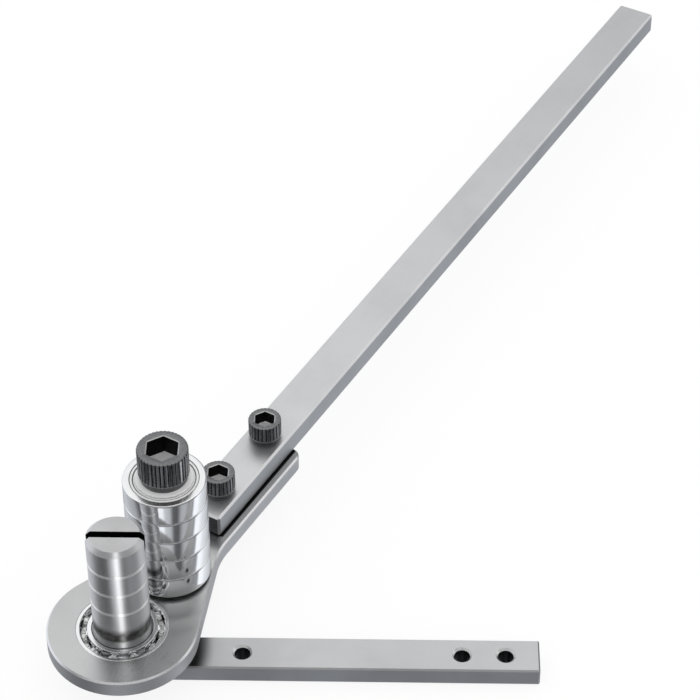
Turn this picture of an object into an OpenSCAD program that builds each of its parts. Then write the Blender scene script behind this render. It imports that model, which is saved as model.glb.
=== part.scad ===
// Manual bender for wire, rod and narrow strip.
// The stock goes between a fixed grooved post and a roller built up of ball bearings. A long handle swings the
// roller round the post. Origin: post axis at the underside of the base bar. +X runs along the base bar,
// +Z is up. The swing arm is drawn along its own +X and turned to its rest angle.

/* [Base bar] */
// Width of the flat base bar
bar_w = 13; // [12:0.5:16]
// Thickness of the base bar
bar_t = 6.4; // [5:0.2:10]
// Reach of the base bar from the post axis to its free end
bar_reach = 129.6; // [125:0.2:160]
// Length of the base bar behind the post axis
bar_tail = 13; // [11:0.5:14]
// Bevel on every edge of the base bar
bar_bevel = 0.5; // [0.3:0.1:1]
// Distance from the post axis to the inner bench hole
hole_inner_x = 36.8; // [32:0.2:60]
// Distance from the post axis to the middle bench hole
hole_middle_x = 105.4; // [90:0.2:108]
// Distance from the post axis to the outer bench hole
hole_outer_x = 119; // [115:0.2:120]
// Diameter of the bench holes
hole_d = 5; // [4:0.1:6]
// Width of the countersink round each bench hole
hole_sink = 0.65; // [0.3:0.05:1]

/* [Forming post] */
// Diameter of the post
post_d = 18; // [16:0.5:20]
// Height of the post above the swing plate
post_rise = 40.4; // [38:0.2:48]
// Chamfer round the top of the post
post_chamfer = 1.4; // [0.8:0.1:2]
// Distance from the top of the post down to its first groove
groove_first = 9.8; // [9:0.1:11]
// Distance from one groove to the next
groove_pitch = 8.1; // [6:0.1:9]
// Number of grooves
groove_count = 3; // [2:1:3]
// Depth of a groove, and half its width
groove_depth = 0.55; // [0.3:0.05:0.8]
// Width of the slot across the top of the post
slot_w = 2.5; // [1.5:0.1:3.5]
// Depth of the slot
slot_depth = 6; // [4:0.5:8]
// Diameter of the shoulder that the main bearing stands on
shoulder_d = 20.8; // [20:0.1:21.6]
// Height of the shoulder, which holds the swing plate clear of the base bar
shoulder_h = 5.3; // [4:0.1:7]
// Diameter of the threaded spigot in the base bar
spigot_d = 8; // [6:0.5:9]

/* [Main bearing] */
// Wall of the inner race at its shoulder
main_inner_wall = 2; // [1.9:0.05:2.2]
// Open gap between the two races
main_gap = 2.3; // [2.1:0.05:2.4]
// Wall of the outer race at its shoulder
main_outer_wall = 1.2; // [1.1:0.05:1.6]
// Diameter of the balls
main_ball_d = 3.2; // [3:0.05:3.3]
// Number of balls
main_ball_count = 11; // [9:1:12]
// Angle of the first ball from +X
main_ball_phase = -2; // [-15:1:15]
// Bevel on the edges of the races
main_bevel = 0.35; // [0.2:0.05:0.5]
// Width of the pressed cage's ribbon
main_ribbon_w = 1.3; // [1:0.1:1.6]
// Thickness of the cage's ribbon
main_ribbon_t = 0.7; // [0.4:0.1:0.9]

/* [Swing plate] */
// Thickness of the swing plate, and width of the main bearing in it
plate_t = 6; // [6:0.5:8]
// Metal left round the main bearing
plate_rim = 9.1; // [6:0.1:12]
// Angle at which each flank closes towards the tang
flank_angle = 21.3; // [19:0.1:24]
// Width of the tang that carries the handle
tang_w = 17.5; // [16:0.5:20]
// Tang left beyond the outer handle screw
tang_margin = 6.6; // [6:0.1:12]
// Radius of the tang's two far corners
tang_corner_r = 4; // [2:0.5:6]
// Radius where each flank runs into the tang
neck_r = 25; // [10:1:40]
// Bevel on the edges of the swing plate
plate_bevel = 0.55; // [0.3:0.05:0.9]
// Angle of the swing arm from the base bar at rest
arm_angle = 61.2; // [45:0.1:120]

/* [Bending roller] */
// Gap between the post and the roller, where the stock goes
work_gap = 5.5; // [3:0.1:8]
// Outer diameter of a roller bearing
roller_d = 26; // [26:0.5:28]
// Width of a roller bearing
roller_w = 8; // [8:0.5:9]
// Diameter of the bolt, and bore of the bearings on it
bolt_d = 10; // [8:0.5:10]
// Wall of the outer race at its shoulder
roller_outer_wall = 2.2; // [2:0.1:2.4]
// Wall of the inner race at its shoulder
roller_inner_wall = 2.2; // [2:0.1:2.4]
// Diameter of the balls
roller_ball_d = 4.76; // [4.4:0.02:4.8]
// Number of balls in one roller bearing
roller_ball_count = 7; // [6:1:8]
// Width of the pressed cage's ribbon
roller_ribbon_w = 1.8; // [1.2:0.1:2.4]
// Thickness of the cage's ribbon
roller_ribbon_t = 0.7; // [0.4:0.1:0.9]
// Thickness of a bearing shield
shield_t = 0.4; // [0.3:0.05:0.5]
// Depth of a shield below the face of its bearing
shield_recess = 0.3; // [0.2:0.05:0.5]
// Bevel on the edges of the roller bearings' races
roller_bevel = 0.4; // [0.2:0.05:0.6]
// Distance that an outer race stands back from each face of its bearing
race_relief = 0.05; // [0.03:0.01:0.1]
// Thickness of the spacer ring under the lowest bearing
spacer_t = 1; // [0.8:0.1:3]
// Diameter of the spacer ring
spacer_d = 14; // [13.5:0.1:14.4]
// Diameter of the shim under the bolt head
shim_d = 18; // [16:0.5:19]
// Thickness of the shim
shim_t = 0.4; // [0.2:0.1:1]
// Diameter of the bolt head
bolt_head_d = 16; // [15:0.5:17]
// Height of the bolt head
bolt_head_h = 11.9; // [8:0.1:13]
// Distance across the flats of the bolt's socket
bolt_socket = 9.6; // [7:0.1:10]
// Depth of the bolt's socket
bolt_socket_depth = 6.5; // [4:0.5:7]
// Distance that the bolt's tip stands out below the swing plate
bolt_tip = 2.6; // [1:0.1:3]

/* [Handle] */
// Width of the handle bar
handle_w = 14; // [13:0.5:16]
// Thickness of the handle bar
handle_t = 8; // [6:0.5:10]
// Length of the handle bar
handle_len = 326.2; // [200:0.2:450]
// Bevel on every edge of the handle bar
handle_bevel = 0.7; // [0.3:0.1:1.2]
// Space between the roller and the near end of the handle bar
handle_gap = 7.3; // [2:0.1:15]
// Distance from the tang's centre line to the handle bar's, towards the left
handle_shift = 1.3; // [0:0.1:1.5]
// Distance from the near end of the handle bar to the inner screw
screw_inset = 11.8; // [8:0.1:16]
// Distance between the two handle screws
screw_pitch = 28.8; // [18:0.1:40]
// Distance from the tang's centre line to the handle screws, towards the left
screw_shift = 1.7; // [0:0.1:2]
// Diameter of the handle screws
screw_d = 6; // [5:0.5:7]
// Diameter of a handle screw's head
screw_head_d = 10.8; // [9:0.1:11]
// Height of a handle screw's head
screw_head_h = 7.4; // [6:0.1:8]
// Distance across the flats of a handle screw's socket
screw_socket = 6.3; // [4:0.1:6.5]
// Depth of a handle screw's socket
screw_socket_depth = 4.4; // [2.5:0.1:4.8]

/* [Cap screws] */
// Radius of a screw head at its foot, as a share of the head's full radius
foot_share = 0.915; // [0.85:0.005:0.98]
// Height of the head's tapered foot, as a share of the head's height
foot_height_share = 0.22; // [0.1:0.01:0.3]
// Bevel round the top of the head, as a share of its diameter
rim_share = 0.03; // [0.01:0.005:0.05]
// Bevel at the tip of the shank, as a share of its diameter
tip_share = 0.1; // [0.05:0.01:0.2]
// Distance from one groove of the straight knurl to the next, round the head
knurl_pitch = 1.3; // [1:0.05:2]
// Depth of a knurl groove
knurl_depth = 0.3; // [0.1:0.05:0.4]
// Width of the bevel round the mouth of the hexagon socket, measured at its flats
socket_bevel = 0.35; // [0.1:0.05:0.5]
// Slope of the drilled floor of the socket
socket_floor_angle = 31; // [20:1:40]

/* [Fits] */
// Radial clearance where one piece is seated in or on another
seat_gap = 0.02; // [0.01:0.01:0.05]
// Clearance round a ball in its tracks and in its cage
ball_gap = 0.12; // [0.1:0.01:0.15]
// Radial clearance of the handle screws in the handle bar
screw_gap = 0.3; // [0.1:0.05:0.5]
// Running clearance between a bearing shield and the inner race
shield_gap = 0.15; // [0.1:0.05:0.3]

/* [Hidden] */
$fn = 96;
roller_count = 5;
roller_numbers = [1:roller_count];

// Heights, from the underside of the base bar up
plate_z = bar_t + shoulder_h;
plate_top = plate_z + plate_t;
stack_z = plate_top + spacer_t;
stack_top = stack_z + roller_count * roller_w;
bolt_seat = stack_top + shim_t;
post_top = plate_top + post_rise;
handle_top = plate_top + handle_t;

// Radii of the main bearing
post_r = post_d / 2;
main_inner_r = post_r + main_inner_wall;
main_track_r = main_inner_r + main_gap / 2;
main_shoulder_r = main_inner_r + main_gap;
main_outer_r = main_shoulder_r + main_outer_wall;

// Radii of a roller bearing
roller_r = roller_d / 2;
roller_shoulder_r = roller_r - roller_outer_wall;
roller_inner_r = bolt_d / 2 + roller_inner_wall;
roller_track_r = (roller_shoulder_r + roller_inner_r) / 2;

// Places along the swing arm, measured from the post axis
roller_x = post_r + work_gap + roller_r;
handle_x = roller_x + roller_r + handle_gap;
screw_x = handle_x + screw_inset;
tang_x = screw_x + screw_pitch + tang_margin;

// Outline of the swing plate. The flanks run a little inside the round end, and the necks a little inside the
// flanks and the tang, so that neighbouring faces cross.
run_in = 0.02;
plate_r = main_outer_r + plate_rim;
flank_r = plate_r - run_in;
flank_normal = [sin(flank_angle), cos(flank_angle)];
neck_y = tang_w / 2 + neck_r - run_in;
neck_x = (flank_r + neck_r - run_in - neck_y * cos(flank_angle)) / sin(flank_angle);
neck_centre = [neck_x, neck_y];

// Rectangle centred on the origin, with its four corners cut at 45 degrees
module bevelled_rectangle(w, h, bevel) {
    x = w / 2;
    y = h / 2;
    polygon([[x - bevel, -y], [x, bevel - y], [x, y - bevel], [x - bevel, y],
             [bevel - x, y], [-x, y - bevel], [-x, bevel - y], [bevel - x, -y]]);
}

// Flat bar along +X from the origin, standing on z = 0, with every edge bevelled
module flat_bar(length, w, t, bevel) {
    intersection() {
        translate([length / 2, 0, 0])
            linear_extrude(t) bevelled_rectangle(length, w, bevel);
        translate([length / 2, w / 2, t / 2])
            rotate([90, 0, 0]) linear_extrude(w) bevelled_rectangle(length, t, bevel);
        translate([0, 0, t / 2])
            rotate([90, 0, 90]) linear_extrude(length) bevelled_rectangle(w, t, bevel);
    }
}

// Disc standing on z = 0 with both rims bevelled
module bevelled_disc(r, t, bevel) {
    rotate_extrude()
        polygon([[0, 0], [r - bevel, 0], [r, bevel], [r, t - bevel], [r - bevel, t], [0, t]]);
}

// Ring standing on z = 0; each of its four edges has its own bevel, or none
module ring(inner_r, outer_r, t, inner_bevel, outer_bevel) {
    rotate_extrude()
        polygon([[inner_r + inner_bevel, 0], [outer_r - outer_bevel, 0], [outer_r, outer_bevel],
                 [outer_r, t - outer_bevel], [outer_r - outer_bevel, t], [inner_r + inner_bevel, t],
                 [inner_r, t - inner_bevel], [inner_r, inner_bevel]]);
}

// Round track for balls, centred on z = 0
module track(track_r, ball_d) {
    rotate_extrude() translate([track_r, 0]) circle(r = ball_d / 2 + ball_gap);
}

// Balls of one bearing, centred on z = 0
module ball_set(track_r, ball_d, count, phase) {
    for (i = [0:count - 1])
        rotate(phase + i * 360 / count) translate([track_r, 0, 0]) sphere(d = ball_d);
}

// Short round bars, one through each ball, lying along the bearing's radii
module pocket_set(track_r, d, count, phase, depth) {
    for (i = [0:count - 1])
        rotate(phase + i * 360 / count) translate([track_r - depth / 2, 0, 0])
            rotate([0, 90, 0]) cylinder(d = d, h = depth);
}

// Pressed cage: a flat ribbon between the balls, arched over and under each of them
module ribbon_cage(track_r, ball_d, count, phase, ribbon_w, ribbon_t) {
    pocket_d = ball_d + 2 * ball_gap;
    difference() {
        union() {
            translate([0, 0, -ribbon_t / 2])
                ring(track_r - ribbon_w / 2, track_r + ribbon_w / 2, ribbon_t, 0, 0);
            pocket_set(track_r, pocket_d + ribbon_t, count, phase, ribbon_w);
        }
        pocket_set(track_r, pocket_d, count, phase, 2 * ribbon_w);
    }
}

// Places its children on the swing arm at its rest angle
module on_arm() {
    rotate(arm_angle) children();
}

// Places its children on the roller's axis, at the foot of bearing number i
module on_roller(i) {
    on_arm() translate([roller_x, 0, stack_z + (i - 1) * roller_w]) children();
}

// Hexagon socket, its mouth at z = 0: bevelled mouth, straight walls and the cone that the drill left
module hex_socket(flats, depth) {
    corner_r = flats / sqrt(3);
    translate([0, 0, -depth]) rotate(30 - arm_angle) cylinder(r = corner_r, h = depth + 1, $fn = 6);
    translate([0, 0, -socket_bevel])
        cylinder(r1 = flats / 2, r2 = flats / 2 + 2 * socket_bevel, h = 2 * socket_bevel);
    translate([0, 0, -depth - flats / 2 * tan(socket_floor_angle)])
        cylinder(r1 = 0, r2 = flats / 2, h = flats / 2 * tan(socket_floor_angle));
}

// Straight knurl: upright V grooves round a head
module knurl(head_r, height) {
    count = round(2 * PI * head_r / knurl_pitch);
    for (i = [0:count - 1])
        rotate(i * 360 / count) translate([head_r - knurl_depth, 0, 0])
            rotate(-45) cube([head_r, head_r, height]);
}

// Socket cap screw, its head standing on z = 0: knurled head, tapered foot, hexagon socket, blunt tip
module cap_screw(d, length, head_d, head_h, socket, socket_depth) {
    head_r = head_d / 2;
    foot_r = head_r * foot_share;
    foot_h = head_h * foot_height_share;
    rim = head_d * rim_share;
    tip = d * tip_share;
    difference() {
        rotate_extrude()
            polygon([[0, -length], [d / 2 - tip, -length], [d / 2, tip - length], [d / 2, 0], [foot_r, 0],
                     [head_r, foot_h], [head_r, head_h - rim], [head_r - rim, head_h], [0, head_h]]);
        translate([0, 0, head_h]) hex_socket(socket, socket_depth);
        translate([0, 0, foot_h]) knurl(head_r, head_h - foot_h + 1);
    }
}

module base_bar() {
    color("silver") difference() {
        translate([-bar_tail, 0, 0]) flat_bar(bar_tail + bar_reach, bar_w, bar_t, bar_bevel);
        for (x = [hole_inner_x, hole_middle_x, hole_outer_x]) translate([x, 0, 0]) {
            translate([0, 0, -1]) cylinder(d = hole_d, h = bar_t + 2);
            translate([0, 0, bar_t - hole_sink])
                cylinder(r1 = hole_d / 2, r2 = hole_d / 2 + 2 * hole_sink, h = 2 * hole_sink);
        }
        translate([0, 0, -1]) cylinder(r = spigot_d / 2 + seat_gap, h = bar_t + 2);
    }
}

module post() {
    grooves = [for (i = [groove_count - 1:-1:0]) post_top - groove_first - i * groove_pitch];
    color("silver") difference() {
        rotate_extrude() polygon(concat(
            [[0, 0], [spigot_d / 2, 0], [spigot_d / 2, bar_t], [shoulder_d / 2, bar_t],
             [shoulder_d / 2, plate_z], [post_r, plate_z]],
            [for (z = grooves, side = [-1, 0, 1])
                [post_r - (side == 0 ? groove_depth : 0), z + side * groove_depth]],
            [[post_r, post_top - post_chamfer], [post_r - post_chamfer, post_top], [0, post_top]]
        ));
        translate([-post_d, -slot_w / 2, post_top - slot_depth]) cube([2 * post_d, slot_w, slot_depth + 1]);
    }
}

module main_inner_race() {
    color("gainsboro") translate([0, 0, plate_z]) difference() {
        ring(post_r + seat_gap, main_inner_r, plate_t, main_bevel, main_bevel);
        translate([0, 0, plate_t / 2]) track(main_track_r, main_ball_d);
    }
}

module main_outer_race() {
    color("gainsboro") on_arm() translate([0, 0, plate_z]) difference() {
        ring(main_shoulder_r, main_outer_r, plate_t, main_bevel, main_bevel);
        translate([0, 0, plate_t / 2]) track(main_track_r, main_ball_d);
    }
}

module main_balls() {
    color("white") translate([0, 0, plate_z + plate_t / 2])
        ball_set(main_track_r, main_ball_d, main_ball_count, main_ball_phase);
}

module main_cage() {
    color("darkgray") translate([0, 0, plate_z + plate_t / 2])
        ribbon_cage(main_track_r, main_ball_d, main_ball_count, main_ball_phase, main_ribbon_w,
                    main_ribbon_t);
}

// Section through an edge of the swing plate whose wall stands at r. Above and below the wall it slopes, inwards
// or outwards, until it is past both faces of the plate.
function edge_section(back, r, slope) = [
    [back, -1], [r + slope * (plate_bevel + 1), -1], [r, plate_bevel], [r, plate_t - plate_bevel],
    [r + slope * (plate_bevel + 1), plate_t + 1], [back, plate_t + 1]
];

// Everything behind one flank
module flank(side) {
    reach = 3 * neck_x;
    rotate(side * (90 - flank_angle)) translate([0, reach, 0]) rotate([90, 0, 0])
        linear_extrude(2 * reach) polygon(edge_section(-reach, flank_r, -1));
}

// Plate between the two flanks, from the round end to the tang
module wedge() {
    start_x = plate_r * flank_normal.x;
    intersection() {
        flank(1);
        flank(-1);
        translate([start_x, -plate_r, 0]) cube([neck_x - start_x, 2 * plate_r, plate_t]);
    }
}

// Fill behind one neck, out to the centre of its arc
module neck_fill() {
    linear_extrude(plate_t)
        polygon([neck_centre, neck_centre - (neck_r + tang_w / 6) * flank_normal, [neck_x, 0]]);
}

// What is cut away outside one neck: a disc that widens towards both faces of the plate and so bevels them
module neck_cut() {
    translate(neck_centre) rotate_extrude() polygon(edge_section(0, neck_r, 1));
}

// Flat end that carries the handle, out to its two round corners
module tang() {
    corner_x = tang_x - tang_corner_r;
    corner_y = tang_w / 2 - tang_corner_r;
    translate([plate_r, 0, plate_t / 2])
        rotate([90, 0, 90]) linear_extrude(corner_x - plate_r) bevelled_rectangle(tang_w, plate_t, plate_bevel);
    translate([tang_x - tang_w / 2, corner_y, plate_t / 2])
        rotate([90, 0, 0]) linear_extrude(2 * corner_y) bevelled_rectangle(tang_w, plate_t, plate_bevel);
    for (side = [-1, 1])
        translate([corner_x, side * corner_y, 0]) bevelled_disc(tang_corner_r, plate_t, plate_bevel);
}

module swing_plate() {
    color("silver") on_arm() translate([0, 0, plate_z]) difference() {
        union() {
            bevelled_disc(plate_r, plate_t, plate_bevel);
            wedge();
            tang();
            for (side = [0, 1]) mirror([0, side, 0]) neck_fill();
        }
        for (side = [0, 1]) mirror([0, side, 0]) neck_cut();
        translate([0, 0, -1]) cylinder(r = main_outer_r + seat_gap, h = plate_t + 2);
        translate([roller_x, 0, -1]) cylinder(r = bolt_d / 2 + seat_gap, h = plate_t + 2);
        for (x = [screw_x, screw_x + screw_pitch])
            translate([x, screw_shift, -1]) cylinder(r = screw_d / 2 + seat_gap, h = plate_t + 2);
    }
}

module handle_bar() {
    color("silver") on_arm() difference() {
        translate([handle_x, handle_shift, plate_top]) flat_bar(handle_len, handle_w, handle_t, handle_bevel);
        for (x = [screw_x, screw_x + screw_pitch])
            translate([x, screw_shift, plate_top - 1]) cylinder(r = screw_d / 2 + screw_gap, h = handle_t + 2);
    }
}

module handle_screw(x) {
    color("dimgray") on_arm() translate([x, screw_shift, handle_top])
        cap_screw(screw_d, handle_t + plate_t, screw_head_d, screw_head_h, screw_socket, screw_socket_depth);
}

module roller_bolt() {
    color("dimgray") on_arm() translate([roller_x, 0, bolt_seat])
        cap_screw(bolt_d, bolt_seat - plate_z + bolt_tip, bolt_head_d, bolt_head_h, bolt_socket,
                  bolt_socket_depth);
}

module roller_shim() {
    color("gainsboro") on_arm() translate([roller_x, 0, stack_top])
        ring(bolt_d / 2 + seat_gap, shim_d / 2, shim_t, 0, 0);
}

module roller_spacer() {
    color("gainsboro") on_arm() translate([roller_x, 0, plate_top])
        ring(bolt_d / 2 + seat_gap, spacer_d / 2, spacer_t, 0, 0);
}

module roller_outer_race(i) {
    color("gainsboro") on_roller(i) difference() {
        translate([0, 0, race_relief])
            ring(roller_shoulder_r, roller_r, roller_w - 2 * race_relief, roller_bevel / 2, roller_bevel);
        translate([0, 0, roller_w / 2]) track(roller_track_r, roller_ball_d);
    }
}

module roller_inner_race(i) {
    color("gainsboro") on_roller(i) difference() {
        ring(bolt_d / 2 + seat_gap, roller_inner_r, roller_w, roller_bevel / 2, roller_bevel / 2);
        translate([0, 0, roller_w / 2]) track(roller_track_r, roller_ball_d);
    }
}

module roller_shields(i) {
    color("lightgray") on_roller(i) for (z = [shield_recess, roller_w - shield_recess - shield_t])
        translate([0, 0, z]) ring(roller_inner_r + shield_gap, roller_shoulder_r - seat_gap, shield_t, 0, 0);
}

module roller_balls(i) {
    color("white") on_roller(i) translate([0, 0, roller_w / 2])
        ball_set(roller_track_r, roller_ball_d, roller_ball_count, 0);
}

module roller_cage(i) {
    color("darkgray") on_roller(i) translate([0, 0, roller_w / 2])
        ribbon_cage(roller_track_r, roller_ball_d, roller_ball_count, 0, roller_ribbon_w, roller_ribbon_t);
}

base_bar();
post();
main_inner_race();
main_outer_race();
main_balls();
main_cage();
swing_plate();
handle_bar();
handle_screw(screw_x);  // handle_screw_inner
handle_screw(screw_x + screw_pitch);  // handle_screw_outer
roller_bolt();
roller_shim();
roller_spacer();
for (i = roller_numbers) {
    roller_outer_race(i);
    roller_inner_race(i);
    roller_shields(i);
    roller_balls(i);
    roller_cage(i);
}
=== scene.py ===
"""Manual bender for wire, rod and narrow strip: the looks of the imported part.

The sections follow the tool as it is put together: base bar, forming post, main bearing, swing plate,
bending roller, cap screws and handle bar. Lengths are in metres, in the part's own frame.
"""
import math

import bmesh
import bpy
from mathutils import Matrix, Vector


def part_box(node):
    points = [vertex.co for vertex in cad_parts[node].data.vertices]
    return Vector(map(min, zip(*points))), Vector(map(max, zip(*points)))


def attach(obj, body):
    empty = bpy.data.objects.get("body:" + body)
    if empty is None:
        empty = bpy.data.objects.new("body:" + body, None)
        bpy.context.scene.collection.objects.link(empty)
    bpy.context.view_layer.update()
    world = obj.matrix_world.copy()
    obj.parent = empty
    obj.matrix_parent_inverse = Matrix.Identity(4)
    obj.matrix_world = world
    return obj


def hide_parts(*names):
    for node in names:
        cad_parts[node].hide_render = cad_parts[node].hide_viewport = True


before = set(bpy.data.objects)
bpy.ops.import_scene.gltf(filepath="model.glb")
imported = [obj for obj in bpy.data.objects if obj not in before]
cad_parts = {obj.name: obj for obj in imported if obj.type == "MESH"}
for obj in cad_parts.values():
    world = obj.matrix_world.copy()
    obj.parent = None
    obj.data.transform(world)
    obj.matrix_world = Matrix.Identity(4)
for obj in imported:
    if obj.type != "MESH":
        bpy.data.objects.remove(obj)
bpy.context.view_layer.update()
MM = 0.001

# Camera. A long lens, well above the bench and almost square to the base bar, so the handle runs away up to
# the right.
VIEW_TARGET = Vector((67.63, 150.15, 0.0)) * MM
VIEW_AZIMUTH = math.radians(1.216)
VIEW_ELEVATION = math.radians(41.481)
VIEW_ROLL = math.radians(-0.237)
VIEW_DISTANCE = 940.62 * MM
FOCAL_PIXELS = 2640.92
PHOTO_PIXELS = 700
SENSOR_WIDTH = 36.0
NEAREST, FARTHEST = 0.01, 50.0

towards_camera = Vector((math.sin(VIEW_AZIMUTH) * math.cos(VIEW_ELEVATION),
                         -math.cos(VIEW_AZIMUTH) * math.cos(VIEW_ELEVATION),
                         math.sin(VIEW_ELEVATION)))
level_right = Vector((math.cos(VIEW_AZIMUTH), math.sin(VIEW_AZIMUTH), 0.0))
level_up = towards_camera.cross(level_right)
right = level_right * math.cos(VIEW_ROLL) + level_up * math.sin(VIEW_ROLL)
up = level_up * math.cos(VIEW_ROLL) - level_right * math.sin(VIEW_ROLL)
camera_data = bpy.data.cameras.new("camera")
camera_data.sensor_width = SENSOR_WIDTH
camera_data.lens = FOCAL_PIXELS * SENSOR_WIDTH / PHOTO_PIXELS
camera_data.clip_start = NEAREST
camera_data.clip_end = FARTHEST
camera = bpy.data.objects.new("camera", camera_data)
camera.matrix_world = Matrix.Translation(VIEW_TARGET + towards_camera * VIEW_DISTANCE) @ Matrix(
    (right, up, towards_camera)).transposed().to_4x4()
bpy.context.scene.collection.objects.link(camera)
bpy.context.scene.camera = camera

# Studio. A white table in a room with the long pale and dark panels that a photographer stands round
# polished metal, a high window at the right, and a strip lamp that gives the post its bright band. Only
# reflections see the room: the camera sees white, and the table holds the soft shadow, from above only.
PANELS = [  # bearing from the camera's side towards the right, in degrees, and brightness
    (-180, 0.35), (-150, 0.56), (-128, 0.60), (-108, 0.48), (-88, 0.40), (-74, 0.16), (-66, 0.09),
    (-48, 0.02), (-28, 0.05), (-22, 0.45), (-17, 1.05), (-4, 1.00), (2, 0.60), (14, 0.50), (24, 0.12),
    (36, 0.10), (48, 0.44), (58, 0.46), (72, 0.28), (84, 0.32), (89, 1.10), (104, 1.05), (114, 0.85),
    (130, 0.72), (154, 0.52), (180, 0.35),
]
WALLS = [  # the same for the walls above the panels
    (-180, 0.30), (-150, 0.95), (-90, 0.95), (-70, 0.14), (70, 0.14), (100, 0.25), (150, 0.25), (180, 0.30),
]
WINDOW_SIDES, WINDOW_FOOT, WINDOW_FADE = (85, 130), 0.16, 0.10
WALL_FOOT, WALL_TOP, WALL_FADE = -0.35, 0.52, 0.08
PANEL_TINT = (0.95, 0.98, 1.03)
FRONT_LEVELS = [  # height on the unit sphere behind the camera, and brightness
    (0.0, 1.00), (0.69, 1.00), (0.73, 0.12), (0.92, 0.12), (0.98, 1.00),
]
FRONT_SPREAD = (-0.2, 0.4)
WHITE = (1.0, 1.0, 1.0)
TABLE_SIZE = 6.0
TABLE_WHITE = 0.15
TABLE_GLOW = 0.86
LAMP_PLACE = Vector((0.12, -1.0, 0.06))
LAMP_AIM = Vector((0.0, 0.0, 0.04))
LAMP_WIDTH, LAMP_HEIGHT, LAMP_WATTS = 0.22, 0.10, 3.4


def feed(tree, node, **values):
    """Give a node's inputs their links or plain values, by the sockets' names or by i0, i1 and so on."""
    for name, value in values.items():
        key = int(name[1:]) if name[0] == "i" and name[1:].isdigit() else name.replace("_", " ")
        if isinstance(value, bpy.types.NodeSocket):
            tree.links.new(value, node.inputs[key])
        else:
            node.inputs[key].default_value = value


def add_node(tree, kind, having=None, **inputs):
    """New node with the properties in having, and with its inputs fed."""
    made = tree.nodes.new(kind)
    for name, value in (having or {}).items():
        setattr(made, name, value)
    feed(tree, made, **inputs)
    return made


def maths(tree, operation, a, b=0.0):
    """Output socket of a Math node."""
    return add_node(tree, "ShaderNodeMath", {"operation": operation}, i0=a, i1=b).outputs[0]


def times(tree, product, *factors):
    """Output socket of a product."""
    for factor in factors:
        product = maths(tree, "MULTIPLY", product, factor)
    return product


def parted(tree, vector):
    """Output sockets of the X, Y and Z of a vector."""
    return add_node(tree, "ShaderNodeSeparateXYZ", i0=vector).outputs


def smooth_step(tree, value, low, high, to_low=0.0, to_high=1.0):
    """Output socket of a soft step from to_low to to_high, as the value goes from low to high."""
    return add_node(tree, "ShaderNodeMapRange", {"interpolation_type": "SMOOTHSTEP"}, i0=value, i1=low,
                    i2=high, i3=to_low, i4=to_high).outputs[0]


def fade_out(tree, value, low, high):
    """Output socket of a soft step from 1 down to 0, as the value goes from low to high."""
    return smooth_step(tree, value, low, high, 1.0, 0.0)


def mix_colours(tree, factor, a, b):
    """Output socket of a colour mix; a and b are colours or sockets."""
    a, b = ((*colour, 1.0) if isinstance(colour, tuple) else colour for colour in (a, b))
    return add_node(tree, "ShaderNodeMix", {"data_type": "RGBA"}, Factor=factor, i6=a, i7=b).outputs[2]


bpy.context.scene.view_settings.view_transform = "Standard"
world = bpy.data.worlds.new("studio")
world.use_nodes = True
bpy.context.scene.world = world
sky = world.node_tree
sky.nodes.clear()
direction = parted(sky, sky.nodes.new("ShaderNodeTexCoord").outputs["Generated"])
bearing = maths(sky, "ARCTAN2", direction["X"], times(sky, direction["Y"], -1.0))


def light_ramp(tree, value, low, high, levels, tint=WHITE):
    """Colour ramp of brightness at values between low and high."""
    ramp = add_node(tree, "ShaderNodeValToRGB", Fac=maths(
        tree, "DIVIDE", maths(tree, "SUBTRACT", value, low), high - low))
    stops = ramp.color_ramp.elements
    while len(stops) < len(levels):
        stops.new(0.5)
    for stop, (where, level) in zip(stops, levels):
        stop.position = (where - low) / (high - low)
    for stop, (where, level) in zip(stops, levels):
        stop.color = [level * part for part in tint] + [1.0]
    return ramp.outputs[0]


def by_bearing(levels):
    """Brightness round the room, from pairs of bearing in degrees and level."""
    stops = [(math.radians(where), level) for where, level in levels]
    return light_ramp(sky, bearing, -math.pi, math.pi, stops, PANEL_TINT)


in_front = smooth_step(sky, maths(sky, "COSINE", bearing), *FRONT_SPREAD)
overhead = mix_colours(sky, in_front, WHITE, light_ramp(sky, direction["Z"], -1.0, 1.0, FRONT_LEVELS))
above_panels = smooth_step(sky, direction["Z"], WALL_FOOT, WALL_FOOT + WALL_FADE)
above_walls = smooth_step(sky, direction["Z"], WALL_TOP, WALL_TOP + WALL_FADE)
round_about = mix_colours(sky, above_panels, by_bearing(PANELS), by_bearing(WALLS))
window_left, window_right = (math.radians(side) for side in WINDOW_SIDES)
window = times(sky, smooth_step(sky, direction["Z"], WINDOW_FOOT, WINDOW_FOOT + WINDOW_FADE), times(
    sky, smooth_step(sky, bearing, window_left, window_left + WINDOW_FADE),
    fade_out(sky, bearing, window_right - WINDOW_FADE, window_right)))
room = mix_colours(sky, above_walls, mix_colours(sky, window, round_about, WHITE), overhead)
ray = sky.nodes.new("ShaderNodeLightPath").outputs
mirrored = mix_colours(sky, ray["Is Diffuse Ray"], room, WHITE)
seen = mix_colours(sky, ray["Is Camera Ray"], mirrored, WHITE)
backdrop = add_node(sky, "ShaderNodeBackground", Color=seen, Strength=1.0)
sky.links.new(backdrop.outputs[0], add_node(sky, "ShaderNodeOutputWorld").inputs[0])

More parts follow.
